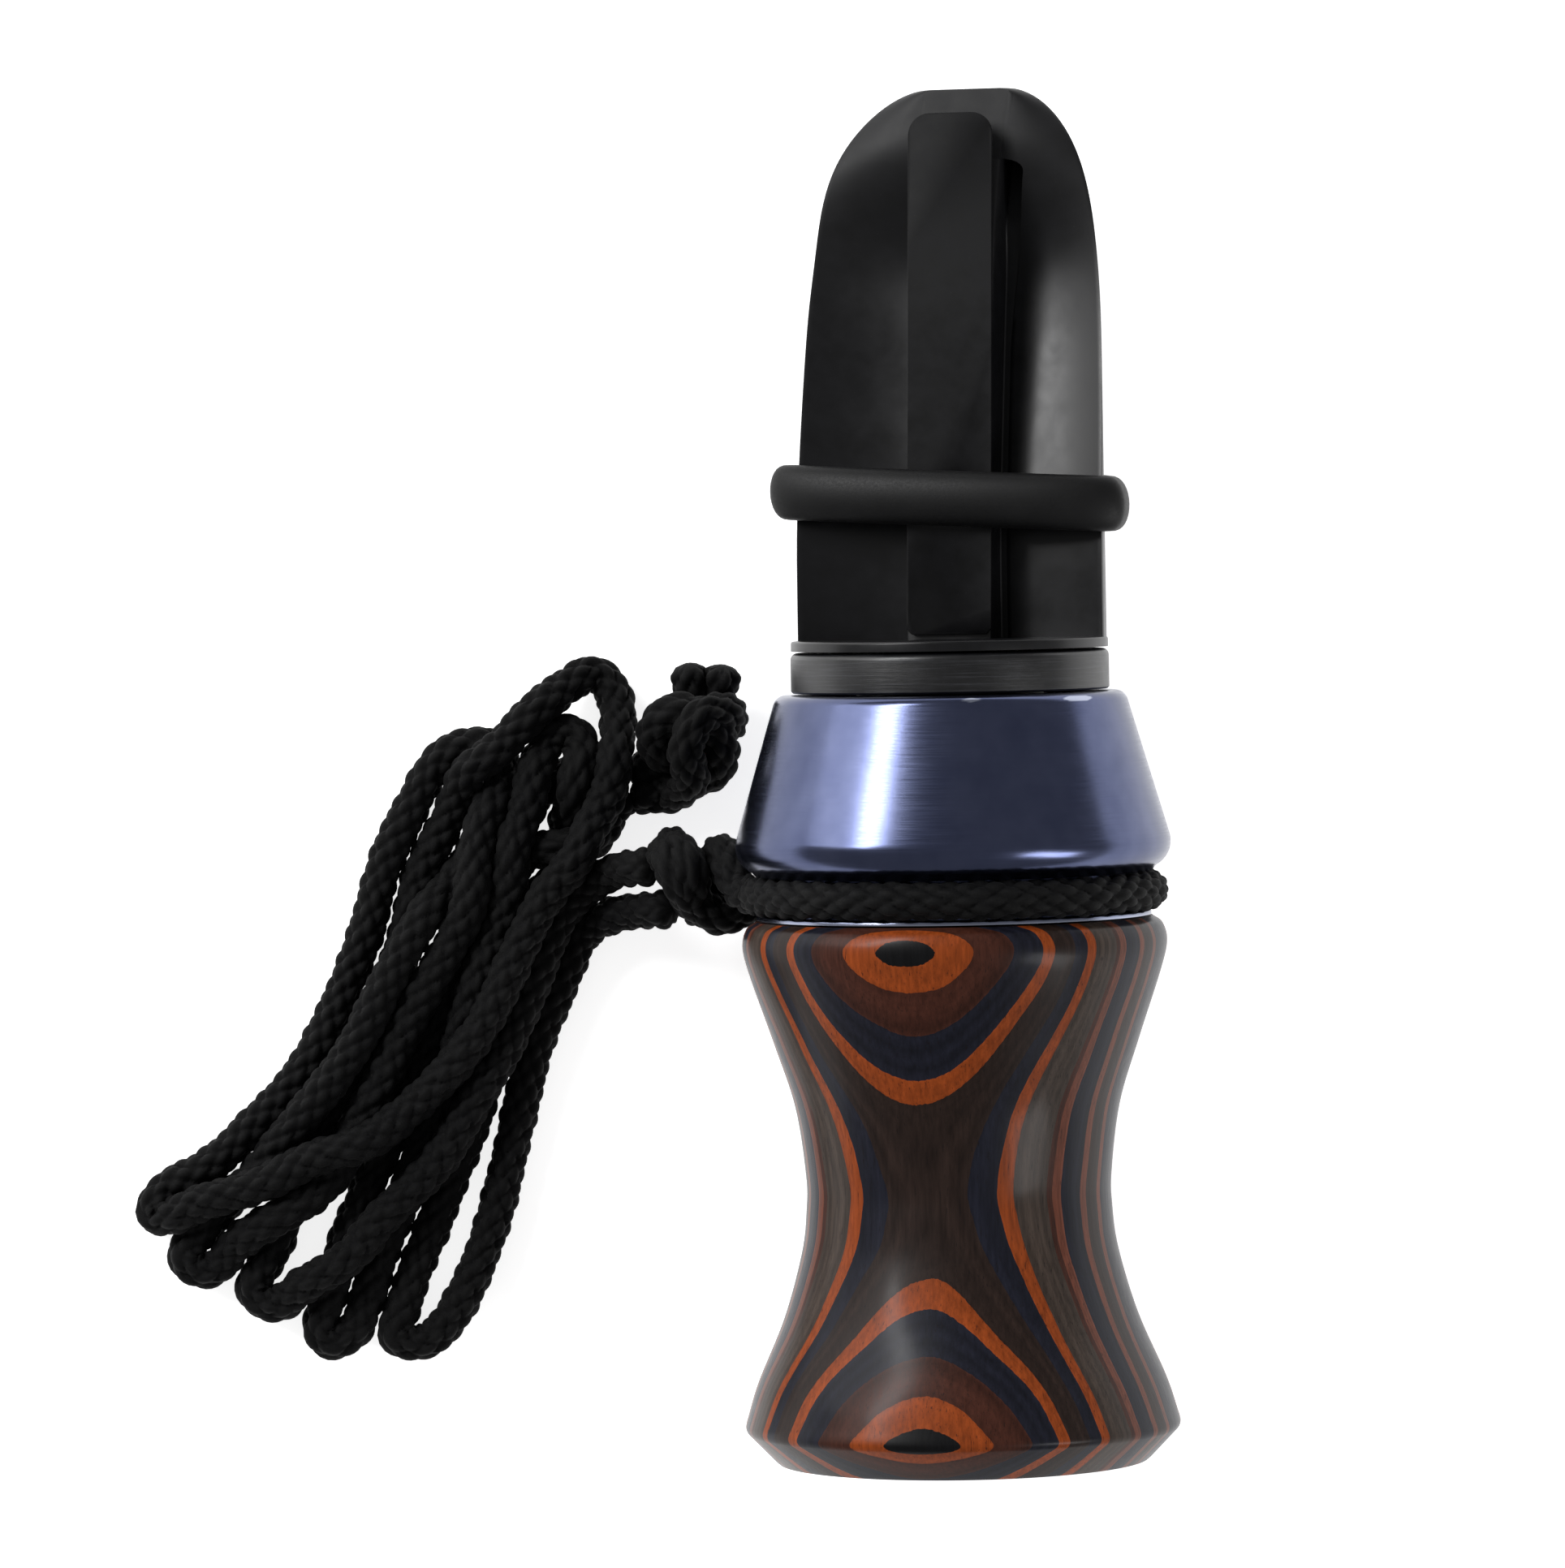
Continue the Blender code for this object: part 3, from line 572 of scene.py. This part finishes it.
def settle(routes):
    """Strands laid over each other: they part to one cord's thickness and rest on the floor."""
    lines = [even_points(smooth_points(route, 12), LAY_SPACING) for route in routes]
    strand = np.concatenate([np.full(len(line), i) for i, line in enumerate(lines)])
    order = np.concatenate([np.arange(len(line)) for line in lines])
    start = np.concatenate(lines)
    points = start.copy()
    held = np.zeros(len(points), bool)
    for i, line in enumerate(lines):
        first = np.flatnonzero(strand == i)[0]
        held[first:first + HELD_POINTS] = True
        held[first + len(line) - HELD_POINTS:first + len(line)] = True
    near = abs(order[:, None] - order[None, :]) < LAY_NEIGHBOURS
    same = (strand[:, None] == strand[None, :]) & near
    inner = (order > 0) & (np.append(strand[1:] == strand[:-1], False))
    curl = np.zeros_like(points)
    where = np.flatnonzero(inner)
    curl[where] = (start[where - 1] + start[where + 1]) / 2 - start[where]
    thick = 2 * CORD_RADIUS
    for _ in range(LAY_ROUNDS):
        gap = points[:, None, :] - points[None, :, :]
        far = np.linalg.norm(gap, axis=2) + 1e-9
        close = np.where(same, 0.0, np.clip(thick - far, 0, None))
        push = (gap / far[:, :, None] * close[:, :, None]).sum(axis=1) * LAY_PUSH
        size = np.linalg.norm(push, axis=1)[:, None] + 1e-9
        push *= np.minimum(size, LAY_LIMIT) / size
        pull = (start - points) * np.array(LAY_PULL)
        pull[:, 2] -= LAY_WEIGHT * (points[:, 2] - CORD_RADIUS)
        bend = np.zeros_like(points)
        bend[where] = (points[where - 1] + points[where + 1]) / 2 - points[where] - curl[where]
        points = np.where(held[:, None], points, points + push + pull + LAY_BEND * bend)
        points[:, 2] = np.maximum(points[:, 2], CORD_RADIUS + FLOOR_GAP)
    return [smooth_points(points[strand == i], 4) for i in range(len(lines))]


# ---------------------------------------------------------------- the call's pieces

def barrel(material):
    """The turned barrel: a waisted outside, a rounded foot, the bore and the tenon."""
    flare = smooth_points(
        [
            (17.58, 3.4, 0), (16.56, 6.6, 0), (14.36, 11.8, 0), (12.85, 17.1, 0),
            (12.41, 20.6, 0), (12.41, 23.4, 0), (13.17, 28.9, 0), (14.84, 34.2, 0),
            (16.60, 39.4, 0), (17.22, 41.9, 0), (16.90, 43.4, 0), (16.10, SHOULDER, 0),
        ],
        8,
    )
    outside = [(p[0], p[1]) for p in flare[::-1]]
    foot_radius = 0.8
    foot = arc((RIM_RADIUS - foot_radius, 3.0), foot_radius, 10, -42, 8)
    tenon_top = FERRULE_TOP - FIT_GAP
    inside = [
        (15.3, 0.25), (15.0, 0.0), (BORE_RADIUS + 0.6, 0.0), (BORE_RADIUS, 0.6),
        (BORE_RADIUS, tenon_top - 0.4), (BORE_RADIUS + 0.4, tenon_top),
        (TENON_RADIUS, tenon_top), (TENON_RADIUS, SHOULDER),
    ]
    return turned("wood_barrel", outside + foot + inside, material)


def ferrule(material):
    """The metal ring over the tenon: the cord's groove, a rounded rim and a cone to the collar."""
    inner = TENON_RADIUS + SEAM_GAP
    lip = SHOULDER + SEAM_GAP
    rim_round = 2.2
    top_round = 1.0
    cone = 17
    rim = arc((RIM_RADIUS - rim_round, 50.1), rim_round, cone, -62, 16)
    crown = arc((13.4, FERRULE_TOP - top_round), top_round, 90, cone, 10)
    profile = crown + rim + [
        (16.1, GROOVE_HIGH), (GROOVE_RADIUS, GROOVE_HIGH), (GROOVE_RADIUS, GROOVE_LOW),
        (15.8, GROOVE_LOW), (15.95, GROOVE_LOW - 0.06), (16.0, GROOVE_LOW - 0.16),
        (16.0, lip), (inner, lip), (inner, FERRULE_TOP - 0.3), (inner + 0.3, FERRULE_TOP),
    ]
    return turned("metal_ferrule", profile, material)


def collar(material):
    """The flange over the ferrule and the stem with its two seal grooves, open for the air."""
    chamfer = 0.55
    profile = [(SOCKET_RADIUS, FLANGE_TOP)]
    profile += arc((FLANGE_RADIUS - chamfer, FLANGE_TOP - chamfer), chamfer, 90, 0, 6)
    profile += [(FLANGE_RADIUS, FLANGE_BASE + 0.15), (FLANGE_RADIUS - 0.15, FLANGE_BASE)]
    profile += [(STEM_RADIUS, FLANGE_BASE)]
    for station in sorted(SEAL_STATIONS.values(), reverse=True):
        upper = station + SEAL_GROOVE_WIDTH / 2
        lower = station - SEAL_GROOVE_WIDTH / 2
        profile += [
            (STEM_RADIUS, upper), (SEAL_GROOVE_RADIUS, upper),
            (SEAL_GROOVE_RADIUS, lower), (STEM_RADIUS, lower),
        ]
    profile += [
        (STEM_RADIUS, STEM_END + 0.6), (STEM_RADIUS - 0.6, STEM_END),
        (AIRWAY_RADIUS + 0.5, STEM_END), (AIRWAY_RADIUS, STEM_END + 0.5),
        (AIRWAY_RADIUS, TENON_END - SEAM_GAP), (SOCKET_RADIUS, TENON_END - SEAM_GAP),
    ]
    return turned("turned_collar", profile, material)


def seal_ring(name, station, material):
    """A round rubber ring in one of the stem's grooves."""
    centre = (SEAL_GROOVE_RADIUS + 0.15 + SEAL_SECTION, station)
    profile = arc(centre, SEAL_SECTION, 360, 15, 23)
    return turned("rubber_" + name, profile, material, None, 96)


def board_radius(station):
    along = max(station - NOSE_START, 0.0) / (CALL_LENGTH - NOSE_START)
    nose = (1 - min(along, 1.0) ** NOSE_POWER) ** NOSE_BLUNTNESS
    return TIP_RADIUS + (BOARD_RADIUS - TIP_RADIUS) * nose


def rim_height(station):
    """The height of the board's rim over the axis, level at first and then sloping down."""
    past = station - RIM_BEND
    return -RIM_SLOPE * (math.hypot(past, RIM_SOFTNESS) + past) / 2


def reed_line(station):
    return RIB_HEIGHT - RIB_SLOPE * (station - BOARD_BASE)


def rib_top(station):
    along = max(station - RIB_CURVE_START, 0.0) / (CALL_LENGTH - RIB_CURVE_START)
    return reed_line(station) - RIB_CURVE * along**2


def channel_floor(station):
    """The floor of the tone channel, which runs out under the reed's free end."""
    along = (station - CHANNEL_START) / CHANNEL_LENGTH
    if not 0 <= along <= 1:
        return rib_top(station) - 0.002
    return rib_top(station) - CHANNEL_SHALLOW - (CHANNEL_DEPTH - CHANNEL_SHALLOW) * (1 - along**2)


def nose_share(station):
    """How far the scooped flanks have filled up towards the closed nose, from 0 to 1."""
    along = min(max((station - SCOOP_FADE) / (SCOOP_END - SCOOP_FADE), 0.0), 1.0)
    return along**3 * (4 - 3 * along)


def nose_lean(station):
    return NOSE_LEAN * (max(station - NOSE_START, 0.0) / (CALL_LENGTH - NOSE_START)) ** 3


def slot_width(station):
    along = min(max((station - SLOT_START) / (SLOT_END - SLOT_START), 0.0), 1.0)
    width = SLOT_NARROW + (SLOT_WIDTH - SLOT_NARROW) * along**SLOT_CURVE
    past = min(max(station - SLOT_END + 1.0, 0.0), 0.98)
    return width * math.sqrt(1 - past**2)


def slot_depth(station):
    along = max(station - SLOT_FLOOR_START, 0.0) / (SLOT_END - SLOT_FLOOR_START)
    return SLOT_FLOOR_DEPTH + SLOT_FLOOR_DROP * min(along, 1.0) ** SLOT_CURVE


def board_section(station):
    """(across, up) points of the board's outline at a station, the flat side up."""
    radius = board_radius(station)
    share = nose_share(station)
    top = rib_top(station)
    cut = max(rim_height(station), -RIM_LOWEST * radius)
    crown = NOSE_CROWN * share
    rim = cut + (top - NOSE_STEP + NOSE_STEP_LOSS * share - crown - cut) * share
    half = math.sqrt(radius**2 - rim**2)
    scoop = SCOOP_DEPTH * (1 - share)
    narrowing = CHANNEL_NARROWING * min(max((station - CHANNEL_START) / CHANNEL_LENGTH, 0), 1)
    channel = CHANNEL_HALF_WIDTH * (1 - narrowing)
    edge = RIB_EDGE if station < SLOT_END else NOSE_EDGE

    def side(rib, slot):
        """From the channel to the rim: rib, slot and scooped flank."""
        floor = min(rim - scoop - 0.02, top - slot_depth(station))
        points = [(channel, channel_floor(station)), (channel, top), (rib - 0.25, top)]
        points += [(rib - 0.08, top - edge * 0.3), (rib, top - edge)]
        if station < SLOT_END:
            points += [(rib, floor + 0.1), (rib + 0.1, floor), (rib + slot - 0.05, floor)]
        else:
            level = min(rim - scoop + crown, top - edge)
            points += [(rib + 0.02, level), (rib + slot * 0.4, level), (rib + slot * 0.8, level)]
        for i in range(FLANK_STEPS + 1):
            x = rib + slot + (half - RIM_INSET - rib - slot) * i / FLANK_STEPS
            t = (x - rib) / (half - rib)
            points.append((x, rim - scoop * (1 - t**FLANK_CURVE) + crown * (1 - t**CROWN_CURVE)))
        return points + [(half - 0.05, rim - 0.05)]

    slot = slot_width(station)
    right = side(min(RIB_HALF_WIDTH, half * RIB_SHARE), slot)
    left = side(min(RIB_HALF_WIDTH - LEFT_RIB_INSET, half * LEFT_RIB_SHARE), slot * LEFT_SLOT_SHARE)
    belly = []
    start = math.asin(rim / radius) - 0.012
    for i in range(BELLY_STEPS + 1):
        angle = start - (math.pi + 2 * start) * i / BELLY_STEPS
        belly.append((radius * math.cos(angle), radius * math.sin(angle)))
    outline = right + belly + [(-x, up) for x, up in reversed(left)]
    return [(x + nose_lean(station), up) for x, up in outline]


def toneboard(material):
    """The board over its round base, with closer sections at the slots' ends and the tip."""
    stations = list(np.arange(BOARD_BASE + 0.5, 104.2, 0.75))
    stations += [104.5, 104.8, 105.05, 105.25, 105.4, 105.48, 105.52, 105.8, 106.3]
    stations += [106.8, 107.4, 108.0, 108.6, 109.1, 109.6]
    stations += [110.0, 110.35, 110.65, 110.9, 111.1, 111.2, 111.27, CALL_LENGTH]
    rings = []
    for station in stations:
        section = board_section(station)
        rings.append([on_axis(x, up, station, MOUTHPIECE_TWIST) for x, up in section])
    return sections_mesh("toneboard_body", rings, material, 34)


def toneboard_seat(material):
    """The toneboard's round base and the tenon that holds it in the collar."""
    tenon = SOCKET_RADIUS - SEAM_GAP
    bore = AIRWAY_RADIUS - 0.4
    top = BOARD_BASE + BOARD_DISC
    radius = BOARD_RADIUS + 0.1
    edge = 0.2
    profile = [(bore, top)] + arc((radius - edge, top - edge), edge, 90, 0, 5)
    profile += [(radius, BOARD_BASE), (tenon, BOARD_BASE), (tenon, TENON_END), (bore, TENON_END)]
    return turned("toneboard_seat", profile, material)


def reed(material):
    """The strip, lying on the rib, with softly rounded edges."""
    tip = REED_END - REED_PIVOT
    tail = REED_TAIL - REED_PIVOT
    corner = (REED_HALF_WIDTH - REED_CORNER, tip - REED_CORNER)
    tail_corner = 0.4
    right = [(REED_HALF_WIDTH - tail_corner, tail), (REED_HALF_WIDTH, tail + tail_corner)]
    right += [(REED_HALF_WIDTH, y) for y in np.linspace(tail + 2, tip - REED_CORNER - 1, 24)]
    right += arc(corner, REED_CORNER, 0, 90, 12)
    outline = np.array(right + [(-x, y) for x, y in reversed(right)])
    low = reed_line(REED_PIVOT) + SEAM_GAP
    layers = [
        (REED_BEVEL, 0.0), (0.0, REED_BEVEL),
        (0.0, REED_THICKNESS - REED_BEVEL), (REED_BEVEL, REED_THICKNESS),
    ]
    rings = []
    for inset, height in layers:
        ring = []
        for x, y in outline:
            px = x * (1 - inset / REED_HALF_WIDTH)
            py = y - inset * (1 if y > 0 else -1)
            up = low + height - RIB_SLOPE * py
            ring.append(on_axis(px + REED_SHIFT, up, REED_PIVOT + py, MOUTHPIECE_TWIST))
        rings.append(ring)
    return sections_mesh("reed_strip", rings, material, 40)


def tuning_band(material):
    """The rubber band: flat inside, round outside, drawn down over the reed."""
    over_reed = reed_line(BAND_STATION) + REED_THICKNESS + BAND_CLEARANCE
    lip = 0.12
    flat = BAND_HEIGHT / 2 - 0.35
    section = [(0.0, -flat), (0.0, 0.0), (0.0, flat)]
    round_steps = 16
    for i in range(round_steps + 1):
        angle = math.pi / 2 - math.pi * i / round_steps
        bulge = max(math.cos(angle), 0.0) ** 0.75
        section.append((lip + (BAND_THICKNESS - lip) * bulge, BAND_HEIGHT / 2 * math.sin(angle)))
    steps = 144
    verts = []
    for i in range(steps):
        angle = 2 * math.pi * i / steps
        for out, along in section:
            side = BAND_INNER + out
            rise = (over_reed if math.sin(angle) > 0 else BAND_INNER) + out
            x, up = side * math.cos(angle), rise * math.sin(angle)
            station = BAND_STATION + along * math.cos(BAND_TILT) - x * math.sin(BAND_TILT)
            verts.append(on_axis(x * math.cos(BAND_TILT), up, station, MOUTHPIECE_TWIST))
    return add_mesh("rubber_band", verts, skin(steps, len(section), True), material, 50)


# ---------------------------------------------------------------- camera, floor, light

def add_camera():
    data = bpy.data.cameras.new("camera")
    camera = bpy.data.objects.new("camera", data)
    bpy.context.scene.collection.objects.link(camera)
    aim = Vector((CAMERA_PLACE[0], CAMERA_PLACE[1], RIM_RADIUS))
    turn = Matrix.Rotation(CAMERA_TURN, 3, "Z") @ Matrix.Rotation(-CAMERA_LEAN, 3, "X")
    camera.location = (aim + turn @ Vector((0, 0, CAMERA_DISTANCE))) * MM
    camera.rotation_euler = turn.to_euler()
    data.sensor_width = SENSOR
    data.lens = SENSOR * CAMERA_DISTANCE / FRAME_HEIGHT
    data.clip_start = 0.01
    bpy.context.scene.camera = camera


def add_floor():
    s = Shader("pale_floor")
    grain = s.noise(0.02, detail=2.0)
    s.surface(
        Base_Color=s.mix(s.vary(grain, 0, 1), (0.88, 0.88, 0.88, 1), (0.9, 0.9, 0.9, 1)),
        Roughness=0.9, Specular_IOR_Level=0.1,
        Emission_Color=(1, 1, 1, 1), Emission_Strength=0.8,
    )
    signs = ((-1, -1), (1, -1), (1, 1), (-1, 1))
    corners = [(x * FLOOR_HALF_SIZE, y * FLOOR_HALF_SIZE, -FLOOR_DROP) for x, y in signs]
    floor = add_mesh("floor", corners, [(0, 1, 2, 3)], s.material)


def add_light(name, place, size, power):
    """A white rectangle of light, turned towards the call."""
    data = bpy.data.lights.new(name, "AREA")
    data.shape = "RECTANGLE"
    data.size, data.size_y = size[0] * MM, size[1] * MM
    data.energy = power
    light = bpy.data.objects.new(name, data)
    bpy.context.scene.collection.objects.link(light)
    light.location = Vector(place) * MM
    aim = Vector(LIGHT_AIM) * MM - light.location
    light.rotation_euler = aim.to_track_quat("-Z", "Y").to_euler()


def add_lights():
    for name, (place, size, power) in LIGHTS.items():
        add_light(name, place, size, power)
    world = bpy.data.worlds.new("studio")
    bpy.context.scene.world = world
    world.use_nodes = True
    background = world.node_tree.nodes["Background"].inputs
    background["Color"].default_value = (1, 1, 1, 1)
    background["Strength"].default_value = WORLD_STRENGTH
    bpy.context.scene.view_settings.view_transform = "Standard"


# ---------------------------------------------------------------- build

def place_piece(piece, body, slot, *nodes):
    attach(piece, body)
    if nodes:
        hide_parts(*nodes)


add_camera()
add_floor()
add_lights()

cord = cord_material()
knot_pieces = ([], [])
for knot, routes in (("noose_knot", NOOSE_KNOT_ROUTES), ("end_knot", END_KNOT_ROUTES)):
    for i, route in enumerate(routes):
        piece, _ = braid(f"{knot}_cord_{i + 1}", smooth_points(route, 10), cord)
        place_piece(piece, "barrel_body", "braided_cord", knot)
        knot_pieces[i].append(piece)

upper, lower = settle([UPPER_STRAND, LOWER_STRAND])
strands = (
    ("lanyard_upper_strand", upper, ("noose_lead_upper", "end_lead_upper", "lanyard_hank")),
    ("lanyard_lower_strand", lower, ("noose_lead_lower", "end_lead_lower")),
)
for (name, route, nodes), knotted in zip(strands, knot_pieces):
    piece, path = braid(name, route, cord)
    place_piece(piece, "barrel_body", "braided_cord", *nodes)

turn_radius = GROOVE_RADIUS + SEAM_GAP + CORD_RADIUS
turn_angles = np.radians(np.linspace(NOOSE_START, NOOSE_START + NOOSE_SWEEP, 120))
turn_station = (GROOVE_LOW + GROOVE_HIGH) / 2
turn = [on_axis(turn_radius * math.cos(a), turn_radius * math.sin(a), turn_station) for a in turn_angles]
piece, path = braid("lanyard_noose_turn", turn, cord)
place_piece(piece, "barrel_body", "braided_cord", "lanyard_noose")

place_piece(barrel(wood_material()), "barrel_body", "laminated_wood", "barrel")
place_piece(ferrule(metal_material()), "barrel_body", "anodised_aluminium", "ferrule")
turned_black = plastic_material("black_plastic_turned", (11, 11, 13), (20, 20, 22), 0.34, 0.5, 0.15)
gloss_black = plastic_material("black_plastic_moulded", (7, 7, 9), (12, 12, 15), 0.3, 0.0, 0.06, 0.34, 0.24)
film_black = plastic_material("reed_film_satin", (10, 10, 11), (15, 15, 17), 0.34, 0.0, 0.05, 0.16, 0.24)
rubber = rubber_material()
place_piece(collar(turned_black), "mouthpiece", "turned_plastic", "insert_collar")
place_piece(toneboard(gloss_black), "mouthpiece", "black_plastic", "toneboard")
place_piece(toneboard_seat(gloss_black), "mouthpiece", "black_plastic", "toneboard")
place_piece(reed(film_black), "reed_body", "reed_film", "reed")
place_piece(tuning_band(rubber), "band_body", "black_rubber", "tuning_band")
for ring_name, ring_station in SEAL_STATIONS.items():
    place_piece(seal_ring(ring_name, ring_station, rubber), "stem_seals", "black_rubber", ring_name)
